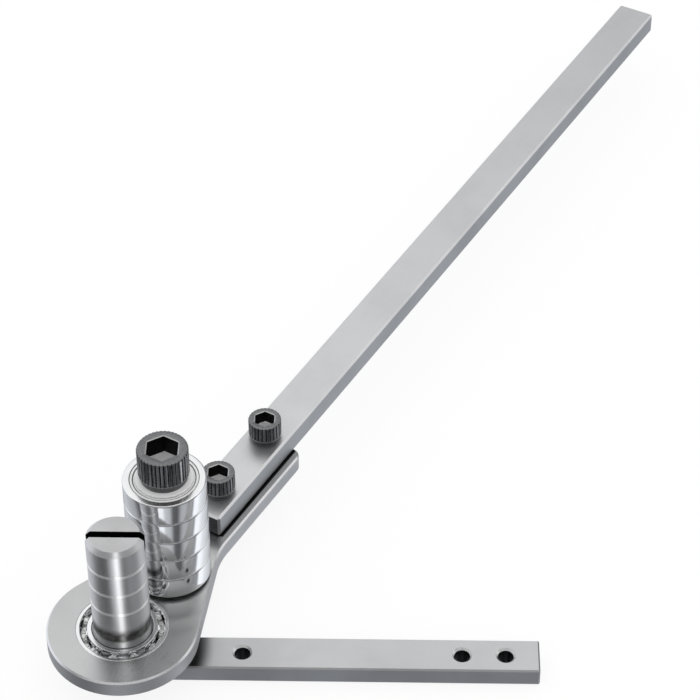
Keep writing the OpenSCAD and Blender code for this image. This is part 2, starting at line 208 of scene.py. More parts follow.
half = TABLE_SIZE / 2
table_mesh = bpy.data.meshes.new("table")
table_mesh.from_pydata([(-half, -half, 0), (half, -half, 0), (half, half, 0), (-half, half, 0)], [],
                       [(0, 1, 2, 3)])
table = bpy.data.objects.new("table", table_mesh)
bpy.context.scene.collection.objects.link(table)
table.visible_glossy = False
paper = bpy.data.materials.new("white_table")
paper.use_nodes = True
sheet = paper.node_tree
sheet.nodes.clear()
camera_ray = sheet.nodes.new("ShaderNodeLightPath").outputs["Is Camera Ray"]
lit = add_node(sheet, "ShaderNodeBsdfDiffuse", Color=(TABLE_WHITE, TABLE_WHITE, TABLE_WHITE, 1.0))
glow = add_node(sheet, "ShaderNodeEmission", Strength=times(sheet, camera_ray, TABLE_GLOW))
both = add_node(sheet, "ShaderNodeAddShader", i0=lit.outputs[0], i1=glow.outputs[0])
from_below = times(sheet, camera_ray, sheet.nodes.new("ShaderNodeNewGeometry").outputs["Backfacing"])
one_sided = add_node(sheet, "ShaderNodeMixShader", i0=from_below, i1=both.outputs[0],
                     i2=sheet.nodes.new("ShaderNodeBsdfTransparent").outputs[0])
sheet.links.new(one_sided.outputs[0], add_node(sheet, "ShaderNodeOutputMaterial").inputs[0])
table_mesh.materials.append(paper)

lamp_data = bpy.data.lights.new("strip_lamp", "AREA")
lamp_data.shape = "RECTANGLE"
lamp_data.size = LAMP_WIDTH
lamp_data.size_y = LAMP_HEIGHT
lamp_data.energy = LAMP_WATTS
lamp = bpy.data.objects.new("strip_lamp", lamp_data)
lamp.matrix_world = Matrix.Translation(LAMP_PLACE) @ (
    LAMP_AIM - LAMP_PLACE).to_track_quat("-Z", "Y").to_matrix().to_4x4()
bpy.context.scene.collection.objects.link(lamp)
in_lamplight = bpy.data.collections.new("lit_by_strip_lamp")
in_lamplight.objects.link(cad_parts["post"])
lamp.light_linking.receiver_collection = in_lamplight

# Base bar. Flat steel bar, 13 x 6.4 mm: the two wide faces are ground bright along its length, the edges are
# as drawn and greyer, and darker also as painted shade. Three countersunk holes take the bench screws.
BAR_TOP = (0.63, 0.635, 0.64)
# edges: greyer as drawn, and darker also as painted shade
BAR_EDGE = (0.385, 0.390, 0.400)
# painted highlight: bevels coloured lighter than the edges, as light caught on them
BAR_BEVEL_HIGHLIGHT = (0.60, 0.60, 0.61)
# painted shade: bevels that face down are coloured near black, as the shade under the bars' edges
UNDER_BEVEL_SHADE = (0.03, 0.03, 0.03)
BAR_ROUGHNESS = 0.36
EDGE_ROUGHNESS = 0.45
GRAIN_PER_METRE = 7500.0
GRAIN_STRETCH = 60.0
GRAIN_TONE, GRAIN_GLOSS = 0.03, 0.015
GRAIN_STRENGTH, GRAIN_DEPTH = 0.04, 0.00002
SMUDGES_PER_METRE = 38.0
SMUDGE_TONE, SMUDGE_SHARE, SMUDGE_GLOSS = (0.22, 0.22, 0.23), 0.07, 0.05
# painted shade: the bores' walls coloured near black, as the shade inside the holes
BORE_SHADE = (0.015, 0.015, 0.016)
HOLE_REACH = 4.0 * MM
# painted highlight: the countersinks coloured near white
HOLE_BEVEL_HIGHLIGHT = (0.95, 0.95, 0.95)
EYE_SHADE = (0.05, 0.05, 0.05)
EYE_SHADE_REACH = 5.0 * MM
BLACK = (0.0, 0.0, 0.0)
LEVEL, SLOPING, STEEP = (0.85, 0.97), (0.3, 0.5), (0.2, 0.4)  # steps in how level a surface lies, 0 to 1
EDGE_STEP, UPWARD, FLAT_UP, ENDWAYS = (0.3, 0.6), (0.5, 0.9), (0.9, 0.99), (0.8, 0.95)
NOISE_SPREAD, NOISE_WIDE, CLOUDY_SPREAD = (0.3, 0.7), (0.25, 0.75), (0.38, 0.72)  # stretches of a noise


def new_group(kind, name, inputs, outputs):
    """Node group with sockets of the given names and types, and the sockets that its own nodes use."""
    group = bpy.data.node_groups.new(name, kind)
    for label, socket in inputs.items():
        group.interface.new_socket(label, in_out="INPUT", socket_type="NodeSocket" + socket)
    for label, socket in outputs.items():
        group.interface.new_socket(label, in_out="OUTPUT", socket_type="NodeSocket" + socket)
    return group, group.nodes.new("NodeGroupInput").outputs, group.nodes.new("NodeGroupOutput").inputs


def place_group(tree, group, **inputs):
    """First output of a shared group, placed in a material with its own values."""
    made = tree.nodes.new("ShaderNodeGroup")
    made.node_tree = group
    feed(tree, made, **inputs)
    return made.outputs[0]


def noise(tree, vector, scale=1.0, detail=3.0, roughness=0.55):
    """Output socket of a Noise Texture."""
    return add_node(tree, "ShaderNodeTexNoise", Vector=vector, Scale=scale, Detail=detail,
                    Roughness=roughness).outputs["Fac"]


def metal(name, roughness):
    """Material of bare metal: its node tree and its shader."""
    material = bpy.data.materials.new(name)
    material.use_nodes = True
    shader = material.node_tree.nodes["Principled BSDF"]
    feed(material.node_tree, shader, Metallic=1.0, Roughness=roughness)
    return material, material.node_tree, shader


def place_coordinates(tree, centre=(0.0, 0.0, 0.0), turn=0.0):
    """Object coordinates from a centre, with X along a direction turned about Z."""
    about = add_node(tree, "ShaderNodeVectorMath", {"operation": "SUBTRACT"},
                     i0=tree.nodes.new("ShaderNodeTexCoord").outputs["Object"], i1=tuple(centre))
    return add_node(tree, "ShaderNodeMapping", Vector=about.outputs[0],
                    Rotation=(0.0, 0.0, -turn)).outputs[0]


def surface_direction(tree):
    """Output socket of the direction that a surface faces."""
    return tree.nodes.new("ShaderNodeNewGeometry").outputs["Normal"]


def within(tree, value, low, high, soft=0.05 * MM):
    """Mask that is 1 between two values and fades out over a short way past them."""
    return times(tree, smooth_step(tree, value, low - soft, low), fade_out(tree, value, high, high + soft))


def axis_distance(tree, spot):
    """Output socket of the distance from the vertical axis, from the sockets of a place's X and Y."""
    return maths(tree, "SQRT", maths(tree, "ADD", times(tree, spot["X"], spot["X"]),
                                     times(tree, spot["Y"], spot["Y"])))


def relief(tree, height, strength, depth):
    """Output socket of a fine relief."""
    return add_node(tree, "ShaderNodeBump", Strength=strength, Distance=depth, Height=height).outputs[0]


def coated(tree, colour, coats):
    """Output socket of a colour under coats, each of them a mask and a colour."""
    for mask, coat in coats:
        colour = mix_colours(tree, mask, colour, coat)
    return colour


grinding, given, put_out = new_group(
    "ShaderNodeTree", "grinding_grain", {"Vector": "Vector", "Fineness": "Float", "Stretch": "Float"},
    {"Grain": "Float"})
spot = parted(grinding, given["Vector"])
along = maths(grinding, "DIVIDE", times(grinding, spot["X"], given["Fineness"]), given["Stretch"])
streaks = add_node(grinding, "ShaderNodeCombineXYZ", X=along,
                   Y=times(grinding, spot["Y"], given["Fineness"]),
                   Z=times(grinding, spot["Z"], given["Fineness"]))
grinding.links.new(noise(grinding, streaks.outputs[0]), put_out["Grain"])

handling, given, put_out = new_group(
    "ShaderNodeTree", "handling_marks", {"Vector": "Vector", "Fineness": "Float"}, {"Smudge": "Float"})
scaled = add_node(handling, "ShaderNodeVectorMath", {"operation": "SCALE"}, i0=given["Vector"],
                  Scale=given["Fineness"])
cloudy = noise(handling, scaled.outputs[0], detail=5.0, roughness=0.62)
handling.links.new(smooth_step(handling, cloudy, *CLOUDY_SPREAD), put_out["Smudge"])


def ground_steel(name, turn, face, edge, bevel, roughness, edge_roughness, holes=None, crevice=None,
                 eye=None, shaded_ends=None):
    """Bright flat steel: wide faces ground along one direction, greyer edges (partly painted shade), and
    bevels painted light as a highlight; bevels that face down are painted black as shade.

    holes is the half width of the bores along a bar, and the stretch of it that has them; the bores are
    painted dark as shade and their countersinks light as a highlight. crevice is where another bar starts
    that lies on it, half the width of the painted shade under that bar, how far that shade fades, and its
    colour. eye is the radius of the round plate that runs close above, and of the painted shade that it
    leaves on the top. The last argument is the dark colour painted on the ends as shade."""
    material, tree, shader = metal(name, roughness)
    place = place_coordinates(tree, turn=turn)
    spot = parted(tree, place)
    grain = place_group(tree, grinding, Vector=place, Fineness=GRAIN_PER_METRE, Stretch=GRAIN_STRETCH)
    smudge = place_group(tree, handling, Vector=place, Fineness=SMUDGES_PER_METRE)
    facing = parted(tree, surface_direction(tree))["Z"]
    upright = maths(tree, "ABSOLUTE", facing)
    # bevels take their own colour, a painted highlight
    on_bevel = times(tree, smooth_step(tree, upright, *SLOPING), fade_out(tree, upright, *LEVEL))
    # bevels that face down take the near black painted shade
    under = times(tree, on_bevel, maths(tree, "LESS_THAN", facing, 0.0))
    coats = [(smooth_step(tree, upright, *LEVEL), face), (on_bevel, bevel), (under, UNDER_BEVEL_SHADE)]
    if holes:
        half_width, start, end = holes
        bored = times(tree, within(tree, spot["X"], start, end),
                      within(tree, spot["Y"], -half_width, half_width))
        # in the holes: countersinks painted light as a highlight, bore walls painted dark as shade
        coats += [(times(tree, bored, on_bevel), HOLE_BEVEL_HIGHLIGHT),
                  (times(tree, bored, fade_out(tree, upright, *STEEP)), BORE_SHADE)]
    if eye:
        sheltered = fade_out(tree, axis_distance(tree, spot), eye - MM, eye + EYE_SHADE_REACH)
        coats += [(times(tree, sheltered, smooth_step(tree, facing, *UPWARD)), EYE_SHADE)]
    # painted shade on the face under the other bar
    if crevice:
        start, half_width, fade, dark = crevice
        covered = times(tree, smooth_step(tree, spot["X"], start - fade, start),
                        within(tree, spot["Y"], -half_width, half_width, fade))
        coats += [(times(tree, covered, smooth_step(tree, facing, *FLAT_UP)), dark)]
    # the bar's ends are painted dark as shade
    if shaded_ends:
        lengthways = add_node(tree, "ShaderNodeVectorMath", {"operation": "DOT_PRODUCT"},
                              i0=surface_direction(tree), i1=(math.cos(turn), math.sin(turn), 0.0))
        endways = maths(tree, "ABSOLUTE", lengthways.outputs["Value"])
        coats += [(smooth_step(tree, endways, *ENDWAYS), shaded_ends)]
    coats += [(smooth_step(tree, grain, *NOISE_SPREAD, GRAIN_TONE, 0.0), BLACK),
              (times(tree, smudge, SMUDGE_SHARE), SMUDGE_TONE)]
    plain = smooth_step(tree, upright, *EDGE_STEP, edge_roughness, roughness)
    uneven = maths(tree, "ADD", smooth_step(tree, grain, *NOISE_WIDE, -GRAIN_GLOSS, GRAIN_GLOSS),
                   times(tree, smudge, SMUDGE_GLOSS))
    feed(tree, shader, Base_Color=coated(tree, edge, coats), Roughness=maths(tree, "ADD", plain, uneven),
         Normal=relief(tree, grain, GRAIN_STRENGTH, GRAIN_DEPTH))
    return material


def finish_node(name, material):
    """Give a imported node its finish."""
    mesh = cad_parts[name].data
    for slot in range(len(mesh.materials)):
        mesh.materials[slot] = material
    if not mesh.materials:
        mesh.materials.append(material)


bar_low, bar_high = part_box("base_bar")
finish_node("base_bar", ground_steel("base_bar_steel", 0.0, BAR_TOP, BAR_EDGE, BAR_BEVEL_HIGHLIGHT, BAR_ROUGHNESS,
                                     EDGE_ROUGHNESS, (HOLE_REACH, bar_low.x + MM, bar_high.x - MM),
                                     eye=-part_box("swing_plate")[0].x))

# Forming post. Turned from one bar of bright steel: shoulder, post, three V grooves that mark heights,
# chamfered top and a screwdriver slot. The tool marks run round it. The grooves are painted white as a
# highlight, the slot black as shade, and the foot darker in blotches as painted shade and reflection of the
# bearing.
POST_STEEL = (0.76, 0.76, 0.77)
POST_TOP = (0.56, 0.56, 0.565)
POST_ROUGHNESS = 0.46
POST_TOP_ROUGHNESS = 0.24
# painted highlight: the grooves' flanks coloured white
GROOVE_HIGHLIGHT = (1.0, 1.0, 1.0)
GROOVES_BELOW, GROOVE_SLOPE = (6.0 * MM, 5.0 * MM), (0.5, 0.85, 0.1)
POST_TOP_STEP, POST_GLOSS_STEP = (0.9, 0.97), (0.86, 0.96)
POST_STRETCH = 0.88
ACROSS_THE_MARKS = 0.25
TURNING_PER_METRE = 9000.0
TURNING_TONE, TURNING_GLOSS = 0.08, (0.85, 1.2)
TURNING_STRENGTH, TURNING_DEPTH = 0.25, 0.00001
POST_SMUDGE, POST_SMUDGE_SHARE = (0.25, 0.25, 0.26), 0.05
# painted shade: the slot coloured near black, as the shade inside it
SLOT_SHADE = (0.008, 0.008, 0.009)
SLOT_WIDTH, SLOT_DEPTH, SLOT_LIP, FINE_FADE = 2.5 * MM, 6.0 * MM, 0.1 * MM, 0.02 * MM
# painted shade and reflection: the post's foot darkened in blotches, as the bearing's dark reflection on it
FOOT_SHADE_AND_REFLECTION = (0.10, 0.10, 0.095)
FOOT_SHADE_RISE, FOOT_SHADE_FADE = (1.6 * MM, 3.2 * MM), (5.0 * MM, 8.6 * MM)
FOOT_SHADE_BLOTCHES_PER_METRE, FOOT_SHADE_SPREAD = 420.0, (0.4, 0.6)
FOOT_SHADE_LEAST, FOOT_SHADE_BLOTCH_LEAST = 0.3, 0.8

turning, given, put_out = new_group(
    "ShaderNodeTree", "turning_marks", {"Vector": "Vector", "Fineness": "Float"}, {"Marks": "Float"})
spot = parted(turning, given["Vector"])
rings = add_node(turning, "ShaderNodeCombineXYZ", Z=times(turning, spot["Z"], given["Fineness"]),
                 X=times(turning, axis_distance(turning, spot), given["Fineness"]))
turning.links.new(noise(turning, rings.outputs[0], detail=2.0), put_out["Marks"])


def post_steel():
    """Steel turned on a lathe about a vertical axis: fine rings that stretch the highlights across them."""
    material, tree, shader = metal("post_steel", POST_ROUGHNESS)
    place = place_coordinates(tree)
    spot = parted(tree, place)
    height = spot["Z"]
    marks = place_group(tree, turning, Vector=place, Fineness=TURNING_PER_METRE)
    smudge = place_group(tree, handling, Vector=place, Fineness=SMUDGES_PER_METRE * 2)
    upright = parted(tree, surface_direction(tree))["Z"]
    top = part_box("post")[1].z
    # the grooves' flanks, under the chamfer, take the painted highlight
    below_chamfer = fade_out(tree, height, *(top - depth for depth in GROOVES_BELOW))
    grooved = times(tree, within(tree, upright, *GROOVE_SLOPE), below_chamfer)
    # the foot's painted shade and reflection of the bearing
    bearing_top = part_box("main_inner_race")[1].z
    blotches = noise(tree, place, scale=FOOT_SHADE_BLOTCHES_PER_METRE)
    foot_shade = times(tree, smooth_step(tree, height, *(bearing_top + rise for rise in FOOT_SHADE_RISE), FOOT_SHADE_LEAST, 1.0),
                 fade_out(tree, height, *(bearing_top + fade for fade in FOOT_SHADE_FADE)),
                 smooth_step(tree, blotches, *FOOT_SHADE_SPREAD, FOOT_SHADE_BLOTCH_LEAST, 1.0))
    # inside the slot: painted shade
    slotted = times(tree, within(tree, spot["Y"], -SLOT_WIDTH / 2, SLOT_WIDTH / 2, FINE_FADE),
                    within(tree, height, top - SLOT_DEPTH, top - SLOT_LIP))
    steel = coated(tree, POST_STEEL, [
        (smooth_step(tree, marks, *NOISE_SPREAD, TURNING_TONE, 0.0), BLACK),
        (times(tree, smudge, POST_SMUDGE_SHARE), POST_SMUDGE), (grooved, GROOVE_HIGHLIGHT),
        (smooth_step(tree, upright, *POST_TOP_STEP), POST_TOP), (foot_shade, FOOT_SHADE_AND_REFLECTION), (slotted, SLOT_SHADE)])
    plain = smooth_step(tree, upright, *POST_GLOSS_STEP, POST_ROUGHNESS, POST_TOP_ROUGHNESS)
    round_axis = add_node(tree, "ShaderNodeTangent", {"direction_type": "RADIAL", "axis": "Z"})
    feed(tree, shader, Base_Color=steel,
         Roughness=times(tree, plain, smooth_step(tree, marks, *NOISE_WIDE, *TURNING_GLOSS)),
         Normal=relief(tree, marks, TURNING_STRENGTH, TURNING_DEPTH), Anisotropic=POST_STRETCH,
         Anisotropic_Rotation=ACROSS_THE_MARKS, Tangent=round_axis.outputs[0])
    return material


finish_node("post", post_steel())

# Main bearing. Open ball bearing between the post and the swing plate: hardened and polished races, eleven
# balls in a cage of two pressed ribbons riveted together between the balls.
RACE_STEEL = (0.93, 0.935, 0.94)
RACE_ROUGHNESS = 0.10
FACE_ROUGHNESS = 0.22
RING_STRENGTH, RING_DEPTH = 0.12, 0.000006
RING_DARK, RING_TONE = (0.1, 0.1, 0.1), 0.05
FACE_SMUDGE, FACE_SMUDGE_SHARE, FACE_SMUDGE_GLOSS = (0.5, 0.5, 0.5), 0.05, 0.04
FACE_STEP = (0.8, 0.98)
# painted shade: the races' walls in the ball gap are coloured darker
GAP_SHADE_STEEL = (0.62, 0.62, 0.62)
# painted shade: thin dark lines in the joints and steps, as the shade in them
SEAM_SHADE = (0.08, 0.08, 0.08)
SEAM_WIDTH = 0.3 * MM
BRIGHT_SHOULDER = 1.3 * MM
BALL_STEEL, BALL_CLOUD = (0.95, 0.95, 0.96), (0.80, 0.80, 0.79)
BALL_ROUGHNESS = 0.04
CLOUDS_PER_METRE, CLOUD_GLOSS = 400.0, 0.08
CAGE_STEEL, CAGE_MOTTLE = (0.95, 0.95, 0.94), (0.62, 0.62, 0.61)
CAGE_ROUGHNESS, CAGE_GLOSS = 0.24, (-0.05, 0.08)
CAGE_SHINE = 0.7
MOTTLES_PER_METRE = 2600.0
MOTTLE_STRENGTH, MOTTLE_DEPTH = 0.2, 0.00002
MAIN_BALLS = 11
MAIN_BALL_PHASE = math.radians(-2)
MAIN_BALL_RADIUS = 1.6 * MM
MAIN_BORE, MAIN_GAP = 9.02 * MM, 2.3 * MM
RACE_CORNER, TRACK_CORNER = 0.4 * MM, 0.2 * MM
BALL_GAP = 0.12 * MM
RIBBON_WIDTH, RIBBON_THICK = 1.3 * MM, 0.35 * MM
RIBBON_CORNER_SHARE, ARCH_BLEND = 0.3, 0.25 * MM
POINTS_PER_BALL, POINTS_PER_CORNER = 40, 3
BALL_SEGMENTS, BALL_RINGS = 40, 24
RIVET_SEGMENTS, RIVET_RINGS = 20, 10
RIVET_RADIUS, RIVET_FLATNESS = 0.42 * MM, 0.7
TURN_STEPS = 192
ARC_STEPS = 6
SHARP_ANGLE = math.radians(35)


def link(name, mesh, material, body, slot, *nodes):
    """Object for a finished mesh, which rides on a body and stands for the named CAD nodes."""
    piece = bpy.data.objects.new(name, mesh)
    bpy.context.scene.collection.objects.link(piece)
    mesh.materials.append(material)
    hand_over(piece, body, slot, *nodes)


def hand_over(piece, body, slot, *nodes):
    """Put a finished piece on its body, in the place of its CAD nodes; slot is not used."""
    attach(piece, body)
    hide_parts(*nodes)


def rounded(corners):
    """Outline with arcs at its corners; each corner is (radius, height, corner radius)."""
    outline = []
    for index, (x, y, r) in enumerate(corners):
        here = Vector((x, y))
        if r <= 0:
            outline.append(here)
            continue
        before = (Vector(corners[index - 1][:2]) - here).normalized()
        after = (Vector(corners[(index + 1) % len(corners)][:2]) - here).normalized()
        half_angle = before.angle(after) / 2
        centre = here + (before + after).normalized() * r / math.sin(half_angle)
        start = here + before * r / math.tan(half_angle) - centre
        end = here + after * r / math.tan(half_angle) - centre
        sweep = start.angle_signed(end)
        for step in range(ARC_STEPS + 1):
            outline.append(centre + Matrix.Rotation(-sweep * step / ARC_STEPS, 2) @ start)
    return outline


def turned(name, outline, steps=TURN_STEPS, centre=Vector((0.0, 0.0, 0.0)), solid=False):
    """Mesh of an outline of (radius, height) turned about a vertical axis; a solid starts and ends on it."""
    shape = bmesh.new()
    turns = [math.tau * step / steps for step in range(steps)]
    spokes = [(math.cos(turn), math.sin(turn)) for turn in turns]
    rows = [[shape.verts.new((centre.x + r * c, centre.y + r * s, centre.z + z)) for c, s in spokes]
            for r, z in outline]
    pairs = list(zip(rows, rows[1:])) if solid else list(zip(rows, rows[1:] + rows[:1]))
    for low, high in pairs:
        for step in range(steps):
            after = (step + 1) % steps
            shape.faces.new((low[step], low[after], high[after], high[step]))
    bmesh.ops.remove_doubles(shape, verts=shape.verts, dist=1e-7)
    bmesh.ops.recalc_face_normals(shape, faces=shape.faces)
    mesh = bpy.data.meshes.new(name)
    shape.to_mesh(mesh)
    shape.free()
    mesh.shade_smooth()
    mesh.set_sharp_from_angle(angle=SHARP_ANGLE)
    return mesh


def race_outline(wall, track_wall, low, high, corner, track_r, ball_r):
    """Section of a race from its plain wall to the wall with the ball track, between two heights."""
    mid = (low + high) / 2
    dip = math.sqrt(ball_r ** 2 - (track_wall - track_r) ** 2)
    outward = 1 if track_wall > track_r else -1
    reach = math.atan2(dip, abs(track_wall - track_r))
    angles = [reach * (1 - step / ARC_STEPS) for step in range(2 * ARC_STEPS + 1)]
    track = [(track_r + outward * ball_r * math.cos(angle), mid + ball_r * math.sin(angle), 0.0)
             for angle in angles]
    return rounded([(wall, low, corner), (track_wall, low, TRACK_CORNER), *reversed(track),
                    (track_wall, high, TRACK_CORNER), (wall, high, corner)])


def heights(node):
    """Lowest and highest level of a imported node."""
    return [corner.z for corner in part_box(node)]


def fit_race(name, node, body, material, wall, track_wall, corner, track_r, ball_r, **placing):
    """Race of a bearing in the place of a packed one."""
    outline = race_outline(wall, track_wall, *heights(node), corner, track_r, ball_r + BALL_GAP)
    link(name, turned(name, outline, **placing), material, body, "bearing_steel", node)


def polished_steel(name, centre, colour, roughness, face_roughness, deep=None, seams=(), shine=1.0):
    """Hardened and polished steel: bright walls, faces lapped to a softer sheen, faint rings.

    deep is the stretch of height that lies in the bearing's gap, painted darker as shade, and seams are the
    radii of thin lines painted dark as shade.
    oil. shine under 1 is for plated sheet, which scatters part of the light."""
    material, tree, shader = metal(name, roughness)
    place = place_coordinates(tree, centre)
    spot = parted(tree, place)
    distance = axis_distance(tree, spot)
    marks = place_group(tree, turning, Vector=place, Fineness=TURNING_PER_METRE)
    smudge = place_group(tree, handling, Vector=place, Fineness=SMUDGES_PER_METRE * 3)
    upright = maths(tree, "ABSOLUTE", parted(tree, surface_direction(tree))["Z"])
    coats = [(smooth_step(tree, marks, *NOISE_SPREAD, RING_TONE, 0.0), RING_DARK),
             (times(tree, smudge, FACE_SMUDGE_SHARE), FACE_SMUDGE)]
    # in the bearing's gap: painted shade
    if deep:
        coats += [(within(tree, spot["Z"], *deep), GAP_SHADE_STEEL)]
    # thin lines of painted shade at the given radii
    coats += [(within(tree, distance, radius - SEAM_WIDTH / 2, radius + SEAM_WIDTH / 2), SEAM_SHADE)
              for radius in seams]
    gloss = maths(tree, "ADD", smooth_step(tree, upright, *FACE_STEP, roughness, face_roughness),
                  times(tree, smudge, FACE_SMUDGE_GLOSS))
    feed(tree, shader, Base_Color=coated(tree, colour, coats), Roughness=gloss, Metallic=shine,
         Normal=relief(tree, marks, RING_STRENGTH, RING_DEPTH))
    return material


def grow(name, tree, seed=None, **inputs):
    """Object whose plain mesh a Geometry Nodes tree has made, from a seed mesh or from nothing."""
    piece = bpy.data.objects.new(name, seed or bpy.data.meshes.new(name + "_seed"))
    bpy.context.scene.collection.objects.link(piece)
    modifier = piece.modifiers.new(name, "NODES")
    modifier.node_group = tree
    for item in tree.interface.items_tree:
        label = item.name.replace(" ", "_")
        if item.item_type == "SOCKET" and item.in_out == "INPUT" and label in inputs:
            modifier[item.identifier] = inputs[label]
    mesh = bpy.data.meshes.new_from_object(piece.evaluated_get(bpy.context.evaluated_depsgraph_get()))
    mesh.name = name
    piece.modifiers.remove(modifier)
    piece.data = mesh
    return piece


def ring_points(tree, count, track_radius, phase):
    """Points spread evenly round a circle."""
    index = tree.nodes.new("GeometryNodeInputIndex").outputs[0]
    angle = maths(tree, "ADD", times(tree, maths(tree, "DIVIDE", math.tau, count), index), phase)
    spot = add_node(tree, "ShaderNodeCombineXYZ", X=times(tree, maths(tree, "COSINE", angle), track_radius),
                    Y=times(tree, maths(tree, "SINE", angle), track_radius))
    return add_node(tree, "GeometryNodePoints", Count=count, Position=spot.outputs[0]).outputs[0]


def off_whole(tree, value):
    """Output socket of how far a value is past the nearest whole number, from -0.5 to 0.5."""
    return maths(tree, "SUBTRACT", value, maths(tree, "ROUND", value))


def finish_tree(tree, geometry, material, result):
    """Last nodes of a tree: realize the instances and set the material."""
    real = add_node(tree, "GeometryNodeRealizeInstances", Geometry=geometry)
    finished = add_node(tree, "GeometryNodeSetMaterial", Geometry=real.outputs[0], Material=material)
    tree.links.new(finished.outputs[0], result)


def move_smooth(tree, geometry, centre):
    """Geometry moved into its place and shaded smooth."""
    moved = add_node(tree, "GeometryNodeTransform", Geometry=geometry, Translation=centre)
    return add_node(tree, "GeometryNodeSetShadeSmooth", Geometry=moved.outputs[0]).outputs[0]


ball_ring, given, put_out = new_group(
    "GeometryNodeTree", "ball_ring",
    {"Count": "Int", "Track Radius": "Float", "Ball Radius": "Float", "Phase": "Float", "Centre": "Vector",
     "Material": "Material"}, {"Geometry": "Geometry"})
ball = add_node(ball_ring, "GeometryNodeMeshUVSphere", Segments=BALL_SEGMENTS, Rings=BALL_RINGS,
                Radius=given["Ball Radius"])
balls = add_node(ball_ring, "GeometryNodeInstanceOnPoints", Points=ring_points(
    ball_ring, given["Count"], given["Track Radius"], given["Phase"]), Instance=ball.outputs["Mesh"])
loose = add_node(ball_ring, "GeometryNodeRealizeInstances", Geometry=balls.outputs[0])
finish_tree(ball_ring, move_smooth(ball_ring, loose.outputs[0], given["Centre"]), given["Material"],
            put_out["Geometry"])

cage, given, put_out = new_group(
    "GeometryNodeTree", "ribbon_cage",
    {"Count": "Int", "Track Radius": "Float", "Pocket Radius": "Float", "Phase": "Float", "Width": "Float",
     "Thickness": "Float", "Rivet Radius": "Float", "Centre": "Vector", "Material": "Material"},
    {"Geometry": "Geometry"})
path = add_node(cage, "GeometryNodeCurvePrimitiveCircle", Radius=given["Track Radius"],
                Resolution=times(cage, given["Count"], POINTS_PER_BALL))
spot = parted(cage, cage.nodes.new("GeometryNodeInputPosition").outputs[0])
turned_by = maths(cage, "SUBTRACT", maths(cage, "ARCTAN2", spot["Y"], spot["X"]), given["Phase"])
pitch_angle = maths(cage, "DIVIDE", math.tau, given["Count"])
from_ball = times(cage, off_whole(cage, maths(cage, "DIVIDE", turned_by, pitch_angle)),
                  times(cage, pitch_angle, given["Track Radius"]))
half_thick = times(cage, given["Thickness"], 0.5)
arch = maths(cage, "ADD", given["Pocket Radius"], half_thick)
over = maths(cage, "SQRT", maths(cage, "MAXIMUM", maths(
    cage, "SUBTRACT", times(cage, arch, arch), times(cage, from_ball, from_ball)), 0.0))
softly = add_node(cage, "ShaderNodeMath", {"operation": "SMOOTH_MAX"}, i0=over, i1=half_thick,
                  i2=ARCH_BLEND)
lift = add_node(cage, "ShaderNodeCombineXYZ", Z=softly.outputs[0])
lifted = add_node(cage, "GeometryNodeSetPosition", Geometry=path.outputs[0], Offset=lift.outputs[0])
level = add_node(cage, "GeometryNodeSetCurveNormal", {"mode": "Z_UP"}, Curve=lifted.outputs[0])
strip = add_node(cage, "GeometryNodeCurvePrimitiveQuadrilateral", Width=given["Width"],
                 Height=given["Thickness"])
soft_strip = add_node(cage, "GeometryNodeFilletCurve", {"mode": "POLY"}, Curve=strip.outputs[0],
                      Count=POINTS_PER_CORNER, Radius=times(cage, given["Thickness"], RIBBON_CORNER_SHARE))
upper = add_node(cage, "GeometryNodeCurveToMesh", Curve=level.outputs[0],
                 Profile_Curve=soft_strip.outputs[0])
rivet = add_node(cage, "GeometryNodeMeshUVSphere", Segments=RIVET_SEGMENTS, Rings=RIVET_RINGS,
                 Radius=given["Rivet Radius"])
between_balls = maths(cage, "ADD", given["Phase"], maths(cage, "DIVIDE", math.pi, given["Count"]))
rivets = add_node(cage, "GeometryNodeInstanceOnPoints", Instance=rivet.outputs["Mesh"], Points=ring_points(
    cage, given["Count"], given["Track Radius"], between_balls), Scale=(1.0, 1.0, RIVET_FLATNESS))
rise = add_node(cage, "ShaderNodeCombineXYZ", Z=given["Thickness"])
raised = add_node(cage, "GeometryNodeTranslateInstances", Instances=rivets.outputs[0],
                  Translation=rise.outputs[0])
studs = add_node(cage, "GeometryNodeRealizeInstances", Geometry=raised.outputs[0])
one_side = add_node(cage, "GeometryNodeJoinGeometry")
cage.links.new(upper.outputs[0], one_side.inputs[0])
cage.links.new(studs.outputs[0], one_side.inputs[0])
mirrored = add_node(cage, "GeometryNodeTransform", Geometry=one_side.outputs[0], Scale=(1.0, 1.0, -1.0))
turned_back = add_node(cage, "GeometryNodeFlipFaces", Mesh=mirrored.outputs[0])
both_sides = add_node(cage, "GeometryNodeJoinGeometry")
cage.links.new(one_side.outputs[0], both_sides.inputs[0])
cage.links.new(turned_back.outputs[0], both_sides.inputs[0])
finish_tree(cage, move_smooth(cage, both_sides.outputs[0], given["Centre"]), given["Material"],
            put_out["Geometry"])

inner_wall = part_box("main_inner_race")[1].x
outer_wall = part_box("main_outer_race")[1].x
main_low, main_high = heights("main_inner_race")
main_track = inner_wall + MAIN_GAP / 2
# the race's gap and a line by the post's foot are painted shade
main_race_steel = polished_steel(
    "main_race_steel", (0.0, 0.0, 0.0), RACE_STEEL, RACE_ROUGHNESS, FACE_ROUGHNESS,
    (main_low + RACE_CORNER, main_high - BRIGHT_SHOULDER), (MAIN_BORE + RACE_CORNER + SEAM_WIDTH / 3,))
fit_race("bearing_inner_race", "main_inner_race", "base", main_race_steel, MAIN_BORE, inner_wall,
         RACE_CORNER, main_track, MAIN_BALL_RADIUS)
fit_race("bearing_outer_race", "main_outer_race", "swing_arm", main_race_steel, outer_wall,
         inner_wall + MAIN_GAP, TRACK_CORNER, main_track, MAIN_BALL_RADIUS)


